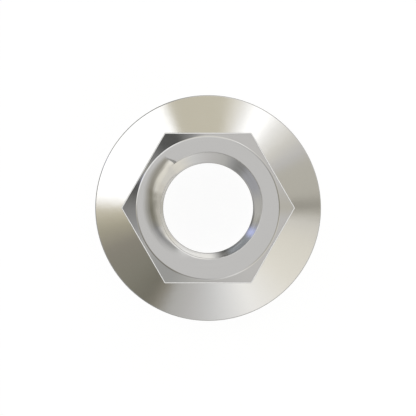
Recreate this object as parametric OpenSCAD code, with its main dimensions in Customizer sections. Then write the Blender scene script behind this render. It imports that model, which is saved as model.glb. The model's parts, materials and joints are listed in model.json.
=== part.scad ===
// Hex flange nut: a hexagon forged in one piece with a sloping round flange, and a tapped bore.
// It stands on its bearing face. The origin is the centre of that face and +Z is the bore's axis.
// The bore's wall is the crest of the thread, so its diameter is the thread's minor diameter.

/* [Thread] */
// Nominal diameter of the thread
thread_diameter = 10; // [8:0.5:11]
// Pitch of the thread
thread_pitch = 1.5; // [0.75:0.25:1.75]
// Width by which the mouth of a countersink goes past the thread's nominal radius
countersink_margin = 0.19; // [0.05:0.01:0.4]
// Full angle of the countersink at each end of the bore
countersink_angle = 90; // [75:5:120]

/* [Hexagon] */
// Distance across two opposite flats
across_flats = 14; // [13:0.25:16]
// Height from the bearing face to the top
nut_height = 10; // [8:0.5:14]
// Distance from the flats in to the flat circle on top
bevel_inset = 0.33; // [0.1:0.01:0.6]
// Slope of the bevel that cuts the six corners, measured from the top face
bevel_slope = 34; // [15:1:40]

/* [Flange] */
// Diameter over the rim
flange_diameter = 21.1; // [19:0.1:26]
// Height at which the flange's slope meets the side of the rim
rim_height = 1.7; // [1.2:0.1:2.2]
// Slope of the flange's upper face, measured from the bearing face
flange_slope = 25; // [15:1:30]
// Rounding of the rim's upper edge
rim_upper_radius = 0.2; // [0.1:0.05:0.5]
// Rounding of the rim's lower edge
rim_lower_radius = 0.6; // [0.2:0.05:0.7]

/* [Hidden] */
$fn = 96;

// A metric thread's crests stand this far inside its nominal radius, for each unit of pitch
crest_height_share = 0.5413;
bore_radius = thread_diameter / 2 - crest_height_share * thread_pitch;
mouth_radius = thread_diameter / 2 + countersink_margin;
countersink_depth = (mouth_radius - bore_radius) / tan(countersink_angle / 2);

hexagon_sides = 6;
corner_radius = across_flats / 2 / cos(180 / hexagon_sides);
top_circle_radius = across_flats / 2 - bevel_inset;

rim_radius = flange_diameter / 2;
rim_upper_centre = [
    rim_radius - rim_upper_radius,
    rim_height - rim_upper_radius * (1 - sin(flange_slope)) / cos(flange_slope)
];
rim_lower_centre = [rim_radius - rim_lower_radius, rim_lower_radius];

// Cutters reach this far past the faces that they open
overrun = 1;

// Height of the flange's upper face at a distance from the axis
function slope_height(radius) = rim_height + (rim_radius - radius) * tan(flange_slope);

// Height of the corner bevel at a distance from the axis
function bevel_height(radius) = nut_height - (radius - top_circle_radius) * tan(bevel_slope);

// The six flats, with the corners cut by one cone, so that each flat ends in an arc
module hexagon() {
    bevel_reach = corner_radius + overrun;
    intersection() {
        cylinder(h = nut_height, r = corner_radius, $fn = hexagon_sides);
        rotate_extrude()
            polygon([
                [0, 0],
                [bevel_reach, 0],
                [bevel_reach, bevel_height(bevel_reach)],
                [top_circle_radius, nut_height],
                [0, nut_height]
            ]);
    }
}

// Half section of the flange: a slope that runs out over a thin rim with rounded edges
module flange_section() {
    polygon([
        [0, 0],
        [rim_lower_centre.x, 0],
        [rim_radius, rim_lower_centre.y],
        [rim_radius, rim_upper_centre.y],
        rim_upper_centre + rim_upper_radius * [sin(flange_slope), cos(flange_slope)],
        [bore_radius, slope_height(bore_radius)],
        [0, slope_height(bore_radius)]
    ]);
    translate(rim_lower_centre) circle(r = rim_lower_radius);
    translate(rim_upper_centre) circle(r = rim_upper_radius);
}

// Half section of the bore, with a countersink that opens through each face
module bore_section() {
    mouth_reach = mouth_radius + overrun * tan(countersink_angle / 2);
    polygon([
        [0, -overrun],
        [mouth_reach, -overrun],
        [bore_radius, countersink_depth],
        [bore_radius, nut_height - countersink_depth],
        [mouth_reach, nut_height + overrun],
        [0, nut_height + overrun]
    ]);
}

module flange_nut() {
    color("silver")
        difference() {
            union() {
                hexagon();
                rotate_extrude() flange_section();
            }
            rotate_extrude() bore_section();
        }
}

flange_nut();
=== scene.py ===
import json
import math

import bmesh
import bpy
import numpy as np
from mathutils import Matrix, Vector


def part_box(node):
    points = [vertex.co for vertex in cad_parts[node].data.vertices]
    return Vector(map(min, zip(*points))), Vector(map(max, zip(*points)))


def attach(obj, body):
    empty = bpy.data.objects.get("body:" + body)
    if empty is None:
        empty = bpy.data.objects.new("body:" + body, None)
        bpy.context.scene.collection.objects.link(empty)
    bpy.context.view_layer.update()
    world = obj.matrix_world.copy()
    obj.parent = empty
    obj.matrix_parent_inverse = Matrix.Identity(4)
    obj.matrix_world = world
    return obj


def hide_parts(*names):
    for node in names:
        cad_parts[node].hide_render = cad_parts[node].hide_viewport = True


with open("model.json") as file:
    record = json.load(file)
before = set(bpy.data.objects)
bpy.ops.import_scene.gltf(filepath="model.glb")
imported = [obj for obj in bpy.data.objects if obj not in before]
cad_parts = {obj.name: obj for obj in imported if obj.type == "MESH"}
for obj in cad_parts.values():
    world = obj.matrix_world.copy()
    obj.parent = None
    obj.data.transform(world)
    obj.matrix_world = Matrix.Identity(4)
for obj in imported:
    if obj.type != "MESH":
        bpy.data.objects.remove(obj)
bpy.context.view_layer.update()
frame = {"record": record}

# A hex flange nut seen straight down its bore. Lengths are in millimetres and angles in degrees, unless
# a note says otherwise. A turn starts at the thread's start on top and runs to 360.
millimetre = 0.001
bodyLow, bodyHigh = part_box("flange_nut")
threadMount = next(m for m in frame["record"]["mounts"] if m["name"] == "thread")

nut = {
    "height": (bodyHigh[2] - bodyLow[2]) / millimetre,
    "rimRadius": (bodyHigh[0] - bodyLow[0]) / 2 / millimetre,
    "boreRadius": threadMount["dims"]["r_mm"],
    "sector": 60.0,               # from one corner of the hexagon to the next
    "flatRadius": 7.0,            # from the axis to a flat
    "cornerRound": 0.1,           # the six upright edges
    "footFillet": 0.06,           # where the hexagon grows out of the flange
    "topCircleRadius": 6.67,      # where the flat ring on top meets the bevel
    "topCircleRound": 0.3,
    "bevelSlope": 34.0,           # the cone that cuts the corners
    "bevelRound": 0.22,           # where that cone meets the flats
    "flangeSlope": 25.0,
    "rimHeight": 1.7,             # where the flange's slope meets the side of the rim
    "rimUpperRound": 0.25,        # the rim's upper edge turns over in two arcs: this one,
    "rimUpperTurn": 48.0,         # as far as this slope,
    "rimSideRound": 0.06,         # and then this tighter one
    "rimLowerRound": 0.6,
    "lipRound": 0.075,            # the thread's edge on top, and the upper corner of each crest
}

thread = {
    "pitch": 1.5,
    "rootRadius": 5.19,           # also the mouth of the countersinks
    "flankSlope": 30.0,           # each side of the groove, from level
    "rootLand": 0.1,              # the straight bottom between them
    "turns": 8,
    "startAngle": 131.0,          # from +X, where the thread runs out over the top
    "stepTurn": 6.4,              # the width of the start's facet and the fall below it
    "stepInner": 5.36,            # the ends of the facet's upper edge, from the axis
    "stepOuter": 6.15,
    "facetShare": 0.48,           # the facet's part of that width; a wall drops from its lower edge
    "facetSlope": 39.0,           # from level
    "facetFacing": 250.9,         # from +X, the way in which the facet falls
    "leanTurn": 5.2,              # the upper edge leans over by this much on its way out
    "leanReach": 24.0,            # and the columns this far before it lean with it, more and more
    # the run-out, by turn: where it leaves the flat ring, where it meets the thread's flank, how evenly it
    # bends between the two, and the share of the flank's slope that it reaches
    "runOutOuter": ((0, 6.35), (29, 6.33), (39, 6.24), (49, 6.19), (59, 6.09), (69, 6.01), (79, 5.94),
                    (89, 5.83), (99, 5.68), (109, 5.55), (119, 5.2), (127, 4.87), (360, 4.87)),
    "runOutInner": ((0, 5.19), (9, 4.9), (29, 4.85), (39, 4.72), (49, 4.5), (59, 4.38), (69, 4.48),
                    (79, 4.62), (89, 4.65), (99, 4.68), (109, 4.72), (124, 4.8), (360, 4.8)),
    "runOutBend": ((0, 0.6), (19, 0.68), (29, 0.9), (39, 1.05), (59, 1.0), (69, 1.15), (79, 1.45),
                   (360, 1.45)),
    "runOutShare": ((0, 1), (69, 1), (79, 0.9), (89, 0.72), (99, 0.58), (109, 0.32), (119, 0.1),
                    (360, 0.1)),
    # the thread's edge on top, by turn: its distance from the axis
    "lipRadii": ((0, 4.188), (9, 4.37), (57, 4.45), (107, 4.58), (169, 4.81), (209, 4.92), (229, 5.01),
                 (249, 5.11), (289, 5.19), (360, 5.19)),
}

density = {
    "columnStep": 1.0,            # between the columns of the surface
    "columnDecimals": 6,
    "cornerColumns": 7,           # over the round of each upright edge
    "cornerClear": 0.6,           # no plain column is nearer to it than this share of its half width
    "facetColumns": 14,
    "facetClear": 0.3,            # nor this near before the facet
    "wallColumns": 12,
    "wallTurn": 0.03,             # the wall below the facet drops within this angle
    "ringRows": 40,
    "flankRows": 5,
    "upperFlankRows": 3,
    "lipRows": 5,
    "lipProbe": 0.01,             # the slope at the lip is taken over this length,
    "lipProbeShare": 0.6,         # from this share of the lip's rounding
    "straightRows": 5,
    "roundRows": 8,
    "support": 0.012,             # a row this close to each end of a straight run keeps its shading flat
    "supportShare": 0.25,         # or, in a short run, this share of it
    "mergeDistance": 2e-7,        # metres
    "sharpAngle": 21.0,
}


def curveThrough(knots, x):
    # smooth curve through the knots: cubic pieces whose slope at a knot is the harmonic mean of the
    # slopes on its two sides, and nought at a peak and at both ends
    xs, ys = (np.array(k, float) for k in zip(*knots))
    rise = np.diff(ys) / np.diff(xs)
    before, after = rise[:-1], rise[1:]
    tiny = 1e-12
    mean = 2 * before * after / (before + after + tiny)
    slope = np.concatenate([[0], np.where(before * after > 0, mean, 0), [0]])
    i = np.clip(np.searchsorted(xs, x, side="right") - 1, 0, len(xs) - 2)
    gap = xs[i + 1] - xs[i]
    t = np.clip((x - xs[i]) / gap, 0, 1)
    return (ys[i] * (1 + 2 * t) * (1 - t) ** 2 + ys[i + 1] * t * t * (3 - 2 * t)
            + gap * (slope[i] * t * (1 - t) ** 2 - slope[i + 1] * t * t * (1 - t)))


def cornerRounding():
    # distance from the axis to the centre of an upright edge's round, and half the angle in radians that
    # the round takes up, seen from the axis
    rounding, half = nut["cornerRound"], math.radians(nut["sector"] / 2)
    inner = (nut["flatRadius"] - rounding) / math.cos(half)
    return inner, math.atan2(rounding / 2, inner + rounding * math.cos(half))


def columnAngles():
    # one turn from the thread's start, with extra columns at the hexagon's corners and at the start's facet
    start, sector = thread["startAngle"], nut["sector"]
    end = start + 360
    plain = np.arange(start, end, density["columnStep"])
    half = math.degrees(cornerRounding()[1])
    corners = np.arange(math.ceil(start / sector) * sector, end, sector)
    spread = np.linspace(-half, half, density["cornerColumns"])
    fine = (corners[:, None] + spread[None, :]).ravel()
    wall = end - thread["stepTurn"] * (1 - thread["facetShare"])
    facet = np.concatenate([np.linspace(end - thread["stepTurn"], wall, density["facetColumns"]),
                            np.linspace(wall + density["wallTurn"], end, density["wallColumns"])])
    apart = np.abs(plain[:, None] - fine[None, :]).min(axis=1)
    keep = plain[(apart > half * density["cornerClear"]) & (plain < facet[0] - density["facetClear"])]
    columns = np.concatenate([keep, fine[fine < facet[0]], facet])
    return np.unique(np.round(columns, density["columnDecimals"]))


def hexagonRadius(angle):
    # distance from the axis to the hexagon with rounded upright edges, along each angle
    half = nut["sector"] / 2
    offset = np.radians((angle + half) % nut["sector"] - half)
    inner, tangent = cornerRounding()
    onFlat = nut["flatRadius"] / np.cos(math.radians(half) - np.abs(offset))
    inside = np.maximum(nut["cornerRound"] ** 2 - (inner * np.sin(offset)) ** 2, 0)
    onRound = inner * np.cos(offset) + np.sqrt(inside)
    return np.where(np.abs(offset) < tangent, onRound, onFlat)


def runOutDepth(radius, turn):
    # depth of the run-out under the flat ring: level outside, then a bend, then the flank's slope
    outer = curveThrough(thread["runOutOuter"], turn)
    inner = curveThrough(thread["runOutInner"], turn)
    power = curveThrough(thread["runOutBend"], turn)
    reached = curveThrough(thread["runOutShare"], turn)
    slope = math.tan(math.radians(thread["flankSlope"]))
    share = np.clip((outer - radius) / (outer - inner), 0, 1)
    bend = reached * (outer - inner) * share ** (power + 1) / (power + 1)
    return slope * (bend + np.maximum(inner - radius, 0))


def lipRadius(turn):
    # the thread's edge on top winds out from the bore's wall to the countersink's mouth
    return np.interp(turn, *zip(*thread["lipRadii"]))


def ringEdge():
    # the flat ring ends where its rounding over to the bevel starts: a tangent's length inside their corner
    return nut["topCircleRadius"] - nut["topCircleRound"] * math.tan(math.radians(nut["bevelSlope"] / 2))


def ringAngle(radius, turn):
    # the facet's upper edge leans over, so the columns near it lean with it: the lean grows from the
    # edge's inner end to its outer end, and fades out to the ring's edge and along the turn
    outer = ringEdge()
    lean = np.clip((radius - thread["stepInner"]) / (thread["stepOuter"] - thread["stepInner"]), 0, 1)
    lean = lean * np.clip((outer - radius) / (outer - thread["stepOuter"]), 0, 1)
    facetStart = 360 - thread["stepTurn"]
    before = np.clip((turn - facetStart + thread["leanReach"]) / thread["leanReach"], 0, 1)
    after = np.clip((360 - turn) / thread["stepTurn"], 0, 1)
    return turn + lean * thread["leanTurn"] * np.where(turn < facetStart, before, after)


def ringDepth(radius, turn):
    # the run-out sinks the ring. The start's facet ends the turn: a plane that falls from its inner
    # corner, no deeper than the run-out's beginning, with a wall down to that at its lower edge
    part = (turn - (360 - thread["stepTurn"])) / thread["stepTurn"]
    corner = math.radians(thread["startAngle"] - thread["stepTurn"])
    facing = math.radians(thread["facetFacing"])
    angle = np.radians(ringAngle(radius, turn)) + math.radians(thread["startAngle"])
    past = radius * np.cos(angle - facing) - thread["stepInner"] * math.cos(corner - facing)
    facet = math.tan(math.radians(thread["facetSlope"])) * np.maximum(past, 0)
    floor = runOutDepth(radius, 0 * turn)
    tiny = 0.1 ** density["columnDecimals"]
    sunk = np.where(part > thread["facetShare"] + tiny, floor, np.minimum(facet, floor))
    return np.where(part > tiny, sunk, np.where(part < -tiny, runOutDepth(radius, turn), 0))


def ringRows(turn):
    # rows from the flat ring's outer circle in to the thread's edge, which is rounded over
    outer, turns = ringEdge(), turn[:, None]
    lip = lipRadius(turns)
    rounding = nut["lipRound"] * np.clip((360 - turns) / thread["stepTurn"], 0, 1)
    near, probe = lip + rounding * density["lipProbeShare"], density["lipProbe"]
    tilt = np.arctan(np.maximum((ringDepth(near, turns) - ringDepth(near + probe, turns)) / probe, 0))
    edge = lip + rounding * (1 - np.sin(tilt))
    # the wide rows end where the thread's flank begins or, where the lip is there, at its rounding
    stop = np.maximum(curveThrough(thread["runOutInner"], turns), edge)
    wide = np.linspace(0, 1, density["ringRows"] + 1)[None, :]
    tight = np.linspace(0, 1, density["flankRows"] + 1)[None, 1:]
    radius = np.concatenate([outer + (stop - outer) * wide, stop + (edge - stop) * tight], axis=1)
    height = nut["height"] - ringDepth(radius, np.repeat(turns, radius.shape[1], axis=1))
    sweep = tilt + (math.pi / 2 - tilt) * np.linspace(0, 1, density["lipRows"] + 1)[None, 1:]
    centre = height[:, -1:] - rounding * np.cos(tilt)
    radius = np.concatenate([radius, lip + rounding * (1 - np.sin(sweep))], axis=1)
    height = np.concatenate([height, centre + rounding * np.cos(sweep)], axis=1)
    return ringAngle(radius, np.repeat(turns, radius.shape[1], axis=1)), radius, height


def bevelHeight(radius):
    # the corner bevel's cone, falling from the top circle
    slope = math.tan(math.radians(nut["bevelSlope"]))
    return nut["height"] - (radius - nut["topCircleRadius"]) * slope


def slopeHeight(radius):
    # the flange's cone, falling to the rim
    slope = math.tan(math.radians(nut["flangeSlope"]))
    return nut["rimHeight"] + (nut["rimRadius"] - radius) * slope


def roundBetween(centreR, centreZ, radius, first, last, count):
    # arc of a section, its angles from the outward direction, as radii and heights with a row per column
    a = np.radians(np.linspace(first, last, count + 1))
    return centreR[:, None] + radius * np.cos(a), centreZ[:, None] + radius * np.sin(a)


def straightBetween(start, stop):
    # rows inside a straight run of the section, each end given as (radii, heights)
    length = np.hypot(stop[0] - start[0], stop[1] - start[1])[:, None]
    near = np.minimum(density["support"] / length, density["supportShare"])
    share = near + (1 - 2 * near) * np.linspace(0, 1, density["straightRows"] + 1)[None, :]
    return tuple(a[:, None] + (b - a)[:, None] * share for a, b in zip(start, stop))


def outsideRows(turn):
    # the section's outside, from the ring's outer circle down to the bearing face's inner edge: each arc
    # touches the straight runs on both sides of it
    one = np.ones(len(turn))
    side = hexagonRadius(turn + thread["startAngle"])
    bevel, slope = nut["bevelSlope"], nut["flangeSlope"]
    rows = density["roundRows"]

    topRound = nut["topCircleRound"]
    top = roundBetween(ringEdge() * one, (nut["height"] - topRound) * one, topRound, 90, 90 - bevel, rows)
    edgeRound = nut["bevelRound"]
    centreR = side - edgeRound
    centreZ = bevelHeight(centreR) - edgeRound / math.cos(math.radians(bevel))
    edge = roundBetween(centreR, centreZ, edgeRound, 90 - bevel, 0, rows)
    fillet = nut["footFillet"]
    centreR = side + fillet
    centreZ = slopeHeight(centreR) + fillet / math.cos(math.radians(slope))
    foot = roundBetween(centreR, centreZ, fillet, 180, 270 - slope, rows)
    # the rim's upper edge turns over in two arcs, the second one tighter
    wide, tight, turnOver = nut["rimUpperRound"], nut["rimSideRound"], 90 - nut["rimUpperTurn"]
    tightR = (nut["rimRadius"] - tight) * one
    wideR = tightR - (wide - tight) * math.cos(math.radians(turnOver))
    wideZ = slopeHeight(wideR) - wide / math.cos(math.radians(slope))
    tightZ = wideZ + (wide - tight) * math.sin(math.radians(turnOver))
    wideArc = roundBetween(wideR, wideZ, wide, 90 - slope, turnOver, rows)
    tightArc = roundBetween(tightR, tightZ, tight, turnOver, 0, rows // 2)
    rim = tuple(np.concatenate([a, b[:, 1:]], axis=1) for a, b in zip(wideArc, tightArc))
    rimRound = nut["rimLowerRound"]
    under = roundBetween((nut["rimRadius"] - rimRound) * one, rimRound * one, rimRound, 0, -90, rows)
    mouth = (thread["rootRadius"] * one[:, None], 0 * one[:, None])

    parts = [top]
    for part in (edge, foot, rim, under, mouth):
        start = tuple(a[:, -1] for a in parts[-1])
        parts.append(straightBetween(start, tuple(a[:, 0] for a in part)))
        parts.append(part)
    radius = np.concatenate([p[0] for p in parts], axis=1)
    height = np.concatenate([p[1] for p in parts], axis=1)
    return np.repeat(turn[:, None], radius.shape[1], axis=1), radius, height


def grooveSection():
    # heights over one pitch from a crest's rounded upper corner, and the radius at each:
    # corner, flank, root, upper flank, crest
    pitch, root, bore = thread["pitch"], thread["rootRadius"], nut["boreRadius"]
    rounding = nut["lipRound"]
    tilt = math.radians(thread["flankSlope"])
    fall = math.tan(tilt)
    edge = bore + rounding * (1 - math.sin(tilt))
    sweep = tilt + (math.pi / 2 - tilt) * np.linspace(1, 0, density["lipRows"] + 1)[:-1]
    radius = [bore + rounding * (1 - np.sin(sweep))]
    rise = [(edge - bore) * fall - rounding * (math.cos(tilt) - np.cos(sweep))]
    flank = np.linspace(edge, root, density["flankRows"] + 1)
    radius.append(flank)
    rise.append((flank - bore) * fall)
    upper = np.linspace(root, bore, density["upperFlankRows"] + 1)
    radius.append(upper)
    rise.append((2 * root - upper - bore) * fall + thread["rootLand"])
    radius.append([bore])
    rise.append([(rise[-1][-1] + pitch + rise[0][0]) / 2])
    return np.concatenate(rise), np.concatenate(radius)


def boreRows(turn, lipEnd):
    # rows that follow the helix, from the lip on top down through the bottom countersink
    pitch, turns = thread["pitch"], thread["turns"]
    rise, radius = grooveSection()
    lastCrest = nut["height"] - runOutDepth(np.array([nut["boreRadius"]]), np.array([0.0]))[0]
    crest = lastCrest - pitch * (360 - turn) / 360
    z = crest[:, None] + np.concatenate([rise - pitch * k for k in range(turns, -1, -1)])[None, :]
    r = np.repeat(np.tile(radius, turns + 1)[None, :], len(turn), axis=0)
    # the topmost groove opens out at the lip: nothing above its root is nearer to the axis than that
    lip = lipRadius(turn)[:, None]
    root = len(rise) * turns + density["lipRows"] + density["flankRows"]
    r[:, root:] = np.maximum(r[:, root:], lip)
    over = z > lipEnd[:, None]
    r = np.concatenate([np.where(over, lip, r), lip], axis=1)
    z = np.concatenate([np.where(over, lipEnd[:, None], z), lipEnd[:, None]], axis=1)
    # the bottom countersink opens the bore at 45 degrees, and the thread ends on the bearing face
    under = z < 0
    z = np.where(under, 0, z)
    r = np.where(under, thread["rootRadius"], np.maximum(r, thread["rootRadius"] - z))
    return np.repeat(turn[:, None], r.shape[1], axis=1), r[:, ::-1], z[:, ::-1]


def gridFaces(columns, rows, first):
    # quads of a grid whose points are numbered down each column, from first on
    a = np.arange(columns - 1)[:, None] * rows + np.arange(rows - 1)[None, :]
    b = a + rows
    return first + np.stack([a, a + 1, b + 1, b], axis=-1).reshape(-1, 4)


def buildNut():
    # three grids over turn and row, merged where they meet: the ring on top, the outside and the bore,
    # in the order of the finish's slots
    turn = columnAngles() - thread["startAngle"]
    ring = ringRows(turn)
    grids = (ring, outsideRows(turn), boreRows(turn, ring[2][:, -1]))
    points, faces, slots, first = [], [], [], 0
    for slot, (angle, radius, height) in enumerate(grids):
        a = np.radians(angle + thread["startAngle"])
        xyz = np.stack([radius * np.cos(a), radius * np.sin(a), height], axis=-1)
        quads = gridFaces(radius.shape[0], radius.shape[1], first)
        points.append(xyz.reshape(-1, 3) * millimetre)
        faces.append(quads)
        slots.append(np.full(len(quads), slot))
        first += radius.size
    points, faces, slots = (np.concatenate(p) for p in (points, faces, slots))
    mesh = bpy.data.meshes.new("flangeNutSurface")
    mesh.from_pydata(points.tolist(), [], faces.tolist())
    mesh.polygons.foreach_set("material_index", slots.astype(np.int32))
    work = bmesh.new()
    work.from_mesh(mesh)
    bmesh.ops.remove_doubles(work, verts=work.verts, dist=density["mergeDistance"])
    bmesh.ops.recalc_face_normals(work, faces=work.faces)
    openEdges = sum(1 for e in work.edges if len(e.link_faces) != 2)
    work.to_mesh(mesh)
    work.free()
    mesh.polygons.foreach_set("use_smooth", np.ones(len(mesh.polygons), bool))
    mesh.set_sharp_from_angle(angle=math.radians(density["sharpAngle"]))
    mesh.update()
    body = bpy.data.objects.new("flangeNutBody", mesh)
    bpy.context.scene.collection.objects.link(body)
    triangles = sum(len(p.vertices) - 2 for p in mesh.polygons)
    print("nut surface:", len(mesh.vertices), "points,", triangles, "triangles,", openEdges, "open edges")
    return body


def maths(tree, operation, *values):
    # a Math node on numbers and sockets, as its output
    node = tree.nodes.new("ShaderNodeMath")
    node.operation = operation
    for socket, value in zip(node.inputs, values):
        if isinstance(value, (int, float)):
            socket.default_value = value
        else:
            tree.links.new(value, socket)
    return node.outputs[0]


def placeIn(tree, space):
    # Texture Coordinate in one space, whole and as its three parts
    place = tree.nodes.new("ShaderNodeTexCoord").outputs[space]
    parts = tree.nodes.new("ShaderNodeSeparateXYZ")
    tree.links.new(place, parts.inputs[0])
    return place, parts.outputs


def noise(tree, place, scale, detail):
    node = tree.nodes.new("ShaderNodeTexNoise")
    tree.links.new(place, node.inputs["Vector"])
    node.inputs["Scale"].default_value = scale
    node.inputs["Detail"].default_value = detail
    return node


def colored(tree, kind, color):
    # a shader of one plain colour
    node = tree.nodes.new(kind)
    node.inputs["Color"].default_value = (*color, 1)
    return node.outputs[0]


def joined(tree, kind, *values):
    # a node that joins what it is given, in the order of its sockets
    node = tree.nodes.new(kind)
    for socket, value in zip(node.inputs, values):
        tree.links.new(value, socket)
    return node.outputs[0]


finish = {
    "color": (0.82, 0.815, 0.80),
    # each slot's mean roughness, how far its marks are drawn out round the axis, and their depth in metres
    "slots": {
        "machinedRing": (0.13, 1.0, 8e-6),
        "forgedBody": (0.13, 0.35, 5e-6),
        "cutThread": (0.13, 1.0, 1.2e-5),
    },
    "marksPerMetre": 2600.0,      # across the marks
    "marksRound": 1.2,            # round the axis
    "marksDetail": 2.0,
    "grainPerMetre": 1300.0,
    "grainDetail": 3.0,
    "roughnessSpread": 0.02,
}


def toolMarks():
    # fine marks in cylinder coordinates, so that they can run round the axis as a tool leaves them
    tree = bpy.data.node_groups.new("toolMarks", "ShaderNodeTree")
    sockets = (("Roughness", "INPUT", "NodeSocketFloat"), ("Drawn Out", "INPUT", "NodeSocketFloat"),
               ("Depth", "INPUT", "NodeSocketFloat"), ("Roughness", "OUTPUT", "NodeSocketFloat"),
               ("Normal", "OUTPUT", "NodeSocketVector"))
    for name, way, kind in sockets:
        tree.interface.new_socket(name, in_out=way, socket_type=kind)
    link = tree.links.new
    asked = tree.nodes.new("NodeGroupInput")
    given = tree.nodes.new("NodeGroupOutput")

    place, (x, y, z) = placeIn(tree, "Object")
    radius = maths(tree, "SQRT", maths(tree, "ADD", maths(tree, "MULTIPLY", x, x),
                                       maths(tree, "MULTIPLY", y, y)))
    # the direction as a point on a small circle, so that the marks close where the angle starts over
    roundX = maths(tree, "MULTIPLY", maths(tree, "DIVIDE", x, radius), finish["marksRound"])
    roundY = maths(tree, "MULTIPLY", maths(tree, "DIVIDE", y, radius), finish["marksRound"])
    across = maths(tree, "MULTIPLY", radius, finish["marksPerMetre"])
    along = maths(tree, "MULTIPLY", z, finish["marksPerMetre"])
    drawn = joined(tree, "ShaderNodeCombineXYZ", across, along, roundX)
    streaks = noise(tree, drawn, 1.0, finish["marksDetail"])
    streaks.noise_dimensions = "4D"
    link(roundY, streaks.inputs["W"])
    grain = noise(tree, place, finish["grainPerMetre"], finish["grainDetail"])

    mark = tree.nodes.new("ShaderNodeMix")
    link(asked.outputs["Drawn Out"], mark.inputs["Factor"])
    link(grain.outputs["Fac"], mark.inputs["A"])
    link(streaks.outputs["Fac"], mark.inputs["B"])
    level = mark.outputs["Result"]
    # the marks run from 0 to 1 about their middle
    spread = maths(tree, "MULTIPLY", maths(tree, "SUBTRACT", level, 0.5), finish["roughnessSpread"] * 2)
    link(maths(tree, "ADD", asked.outputs["Roughness"], spread), given.inputs["Roughness"])
    bump = tree.nodes.new("ShaderNodeBump")
    link(level, bump.inputs["Height"])
    link(asked.outputs["Depth"], bump.inputs["Distance"])
    link(bump.outputs["Normal"], given.inputs["Normal"])
    return tree


def markedMetal(name, marks, roughness, drawnOut, depth):
    # plain bright metal with the tool marks in its roughness and its normal
    material = bpy.data.materials.new(name)
    material.use_nodes = True
    tree = material.node_tree
    shader = tree.nodes["Principled BSDF"]
    shader.inputs["Base Color"].default_value = (*finish["color"], 1)
    shader.inputs["Metallic"].default_value = 1.0
    group = tree.nodes.new("ShaderNodeGroup")
    group.node_tree = marks
    for socket, value in (("Roughness", roughness), ("Drawn Out", drawnOut), ("Depth", depth)):
        group.inputs[socket].default_value = value
    for socket in ("Roughness", "Normal"):
        tree.links.new(group.outputs[socket], shader.inputs[socket])
    return material


# The studio's paints, and where each stands in the bands round the nut, by compass angle from +X
paints = {
    "window": (1.4, 1.4, 1.4),
    "snow": (1.02, 1.01, 0.99),
    "chalk": (0.93, 0.93, 0.93),
    "ivory": (0.90, 0.87, 0.79),
    "cloud": (0.82, 0.82, 0.82),
    "cream": (0.82, 0.79, 0.71),
    "linen": (0.73, 0.71, 0.66),
    "oat": (0.70, 0.67, 0.605),
    "mist": (0.68, 0.68, 0.68),
    "straw": (0.66, 0.61, 0.48),
    "sand": (0.61, 0.57, 0.455),
    "plaster": (0.58, 0.57, 0.565),
    "clay": (0.53, 0.51, 0.455),
    "putty": (0.50, 0.495, 0.48),
    "khaki": (0.44, 0.41, 0.31),
    "stone": (0.40, 0.39, 0.345),
    "flint": (0.39, 0.39, 0.38),
    "pewter": (0.375, 0.38, 0.415),
    "umber": (0.345, 0.33, 0.29),
    "ash": (0.34, 0.34, 0.345),
    "moss": (0.285, 0.265, 0.22),
    "steel": (0.25, 0.27, 0.295),
    "slate": (0.25, 0.25, 0.25),
    "fern": (0.245, 0.235, 0.19),
    "olive": (0.19, 0.18, 0.145),
    "graphite": (0.175, 0.175, 0.172),
    "soot": (0.11, 0.11, 0.105),
    "jet": (0.094, 0.094, 0.091),
    "lilac": (0.55, 0.61, 1.0),
}
studio = {
    "horizon": (0.1, 0.1, 0.098),
    # the band that the corners' bevel mirrors
    "lower": ((0, "clay"), (20, "plaster"), (91, "plaster"), (103, "slate"), (109, "graphite"),
              (114, "jet"), (126, "jet"), (132, "graphite"), (139, "slate"), (150, "stone"),
              (156, "slate"), (161, "jet"), (167, "jet"), (174, "graphite"), (181, "slate"),
              (195, "ash"), (210, "putty"), (225, "flint"), (242, "flint"), (260, "putty"),
              (300, "plaster"), (352, "plaster")),
    # the band that the thread's flank mirrors, from the far side of the bore
    "middle": ((3, "clay"), (28, "linen"), (45, "cream"), (62, "chalk"), (79, "snow"), (98, "snow"),
               (104, "mist"), (109, "ash"), (113, "soot"), (118, "soot"), (123, "steel"), (148, "steel"),
               (154, "lilac"), (157, "lilac"), (163, "pewter"), (170, "stone"), (180, "putty"),
               (191, "putty"), (208, "pewter"), (226, "pewter"), (234, "slate"), (240, "slate"),
               (247, "ash"), (256, "putty"), (274, "plaster"), (292, "mist"), (310, "cream"),
               (320, "linen"), (334, "linen"), (345, "oat"), (352, "oat")),
    # the band that the flange's slope mirrors
    "upper": ((2, "umber"), (8, "clay"), (25, "clay"), (31, "plaster"), (40, "linen"), (51, "snow"),
              (57, "window"), (64, "window"), (70, "snow"), (75, "cream"), (82, "sand"), (110, "sand"),
              (115, "window"), (174, "window"), (181, "straw"), (190, "khaki"), (203, "moss"),
              (222, "fern"), (236, "olive"), (242, "moss"), (249, "putty"), (260, "plaster"),
              (270, "mist"), (280, "cloud"), (294, "snow"), (318, "ivory"), (340, "cream"),
              (352, "linen"), (357, "clay")),
    # the ring of sky round the zenith
    "ceiling": ((0, "fern"), (7, "olive"), (18, "fern"), (30, "slate"), (44, "ash"), (62, "flint"),
                (78, "cloud"), (160, "cloud"), (172, "plaster"), (188, "ash"), (205, "olive"),
                (245, "olive"), (268, "ash"), (280, "plaster"), (292, "cloud"), (302, "plaster"),
                (312, "umber"), (340, "umber"), (352, "moss")),
    "zenith": (0.63, 0.625, 0.625),
    # heights above the horizon between which each band takes over from the one below it
    "steps": ((6, 14), (23.5, 28.5), (31, 38), (41, 53), (60, 89)),
    "backdrop": (1.0, 1.0, 1.0),  # what the camera sees past the floor
}


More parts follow.
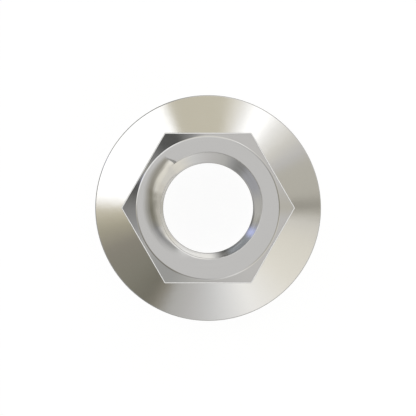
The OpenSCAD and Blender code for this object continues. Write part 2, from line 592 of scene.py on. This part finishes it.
def bandRamp(tree, compass, band):
    # colour by compass angle, the last paint blending back to the first
    ramp = tree.nodes.new("ShaderNodeValToRGB")
    stops = [*band, (360, band[0][1])]
    elements = ramp.color_ramp.elements
    while len(elements) < len(stops):
        elements.new(1.0)
    for element, (angle, paint) in zip(elements, stops):
        element.position = angle / 360
        element.color = (*paints[paint], 1)
    tree.links.new(compass, ramp.inputs["Fac"])
    return ramp.outputs["Color"]


def blend(tree, factor, first, second):
    # mix of two colours, each a socket or a plain colour; its colour sockets are 6 and 7, and output 2
    node = tree.nodes.new("ShaderNodeMix")
    node.data_type = "RGBA"
    tree.links.new(factor, node.inputs["Factor"])
    for socket, value in ((node.inputs[6], first), (node.inputs[7], second)):
        if isinstance(value, tuple):
            socket.default_value = (*value, 1)
        else:
            tree.links.new(value, socket)
    return node.outputs[2]


def between(tree, value, low, high):
    # 0 below low, 1 above high, and even in between
    node = tree.nodes.new("ShaderNodeMapRange")
    tree.links.new(value, node.inputs["Value"])
    node.inputs["From Min"].default_value = low
    node.inputs["From Max"].default_value = high
    return node.outputs["Result"]


def buildStudio():
    # compass is the share of a turn from +X, and level the angle above the horizon
    world = bpy.data.worlds.new("softStudio")
    bpy.context.scene.world = world
    world.use_nodes = True
    tree = world.node_tree
    tree.nodes.clear()
    x, y, up = placeIn(tree, "Generated")[1]
    share = maths(tree, "DIVIDE", maths(tree, "ARCTAN2", y, x), 2 * math.pi)
    compass = maths(tree, "FRACT", maths(tree, "ADD", share, 1.0))
    level = maths(tree, "MULTIPLY", maths(tree, "ARCSINE", up), 180 / math.pi)
    seen = studio["horizon"]
    bands = [bandRamp(tree, compass, studio[name]) for name in ("lower", "middle", "upper", "ceiling")]
    for band, (low, high) in zip([*bands, studio["zenith"]], studio["steps"]):
        seen = blend(tree, between(tree, level, low, high), seen, band)

    rays = tree.nodes.new("ShaderNodeLightPath").outputs
    around = joined(tree, "ShaderNodeBackground", seen)
    backdrop = colored(tree, "ShaderNodeBackground", studio["backdrop"])
    choose = joined(tree, "ShaderNodeMixShader", rays["Is Camera Ray"], around, backdrop)
    out = tree.nodes.new("ShaderNodeOutputWorld")
    tree.links.new(choose, out.inputs["Surface"])
    print("studio: four painted bands under a grey zenith")


ground = {
    "halfSide": 0.6,              # metres
    "bounce": (0.8, 0.8, 0.8),    # its colour for the light that it throws back
    "shade": (0.14, 0.14, 0.14),  # where it is seen: a colour that takes the nut's shadow,
    "glow": 0.93,                 # and plain white light of this strength with it
}


def buildFloor():
    # a square that is seen pale, in the metal too, and lights the nut as a plain grey floor
    side = ground["halfSide"]
    mesh = bpy.data.meshes.new("paleFloor")
    corners = [(-side, -side, 0), (side, -side, 0), (side, side, 0), (-side, side, 0)]
    mesh.from_pydata(corners, [], [(0, 1, 2, 3)])
    floor = bpy.data.objects.new("paleFloor", mesh)
    bpy.context.scene.collection.objects.link(floor)
    material = bpy.data.materials.new("paleFloor")
    material.use_nodes = True
    tree = material.node_tree
    tree.nodes.clear()
    rays = tree.nodes.new("ShaderNodeLightPath").outputs
    mirrored = maths(tree, "MAXIMUM", rays["Is Glossy Ray"], rays["Is Transmission Ray"])
    shown = maths(tree, "MAXIMUM", rays["Is Camera Ray"], mirrored)
    bounce = colored(tree, "ShaderNodeBsdfDiffuse", ground["bounce"])
    shade = colored(tree, "ShaderNodeBsdfDiffuse", ground["shade"])
    glow = tree.nodes.new("ShaderNodeEmission")
    glow.inputs["Strength"].default_value = ground["glow"]
    both = joined(tree, "ShaderNodeAddShader", shade, glow.outputs[0])
    choose = joined(tree, "ShaderNodeMixShader", shown, bounce, both)
    out = tree.nodes.new("ShaderNodeOutputMaterial")
    tree.links.new(choose, out.inputs["Surface"])
    mesh.materials.append(material)
    print("floor: pale, with the nut's shadow")


lens = {
    "pictureWidth": 416,          # pixels
    "pixelsPerMillimetre": 10.714,
    "nutCentreX": 208.1,          # pixels
    "distance": 300.0,            # above the nut's top
    "clipStart": 0.01,            # metres
    "clipEnd": 10.0,
}


def buildCamera():
    data = bpy.data.cameras.new("downTheBore")
    camera = bpy.data.objects.new("downTheBore", data)
    bpy.context.scene.collection.objects.link(camera)
    data.type = "ORTHO"
    data.ortho_scale = lens["pictureWidth"] / lens["pixelsPerMillimetre"] * millimetre
    data.shift_x = (lens["pictureWidth"] / 2 - lens["nutCentreX"]) / lens["pictureWidth"]
    data.clip_start = lens["clipStart"]
    data.clip_end = lens["clipEnd"]
    camera.location = (0, 0, (nut["height"] + lens["distance"]) * millimetre)
    bpy.context.scene.camera = camera
    print("camera: straight down, frame", round(data.ortho_scale / millimetre, 2), "mm wide")


bpy.context.scene.view_settings.view_transform = "Standard"
body = buildNut()
marks = toolMarks()
for finishName, look in finish["slots"].items():
    body.data.materials.append(markedMetal(finishName, marks, *look))
print("finish: three metals with fine tool marks")
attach(body, "root")
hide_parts("flange_nut")
buildStudio()
buildFloor()
buildCamera()
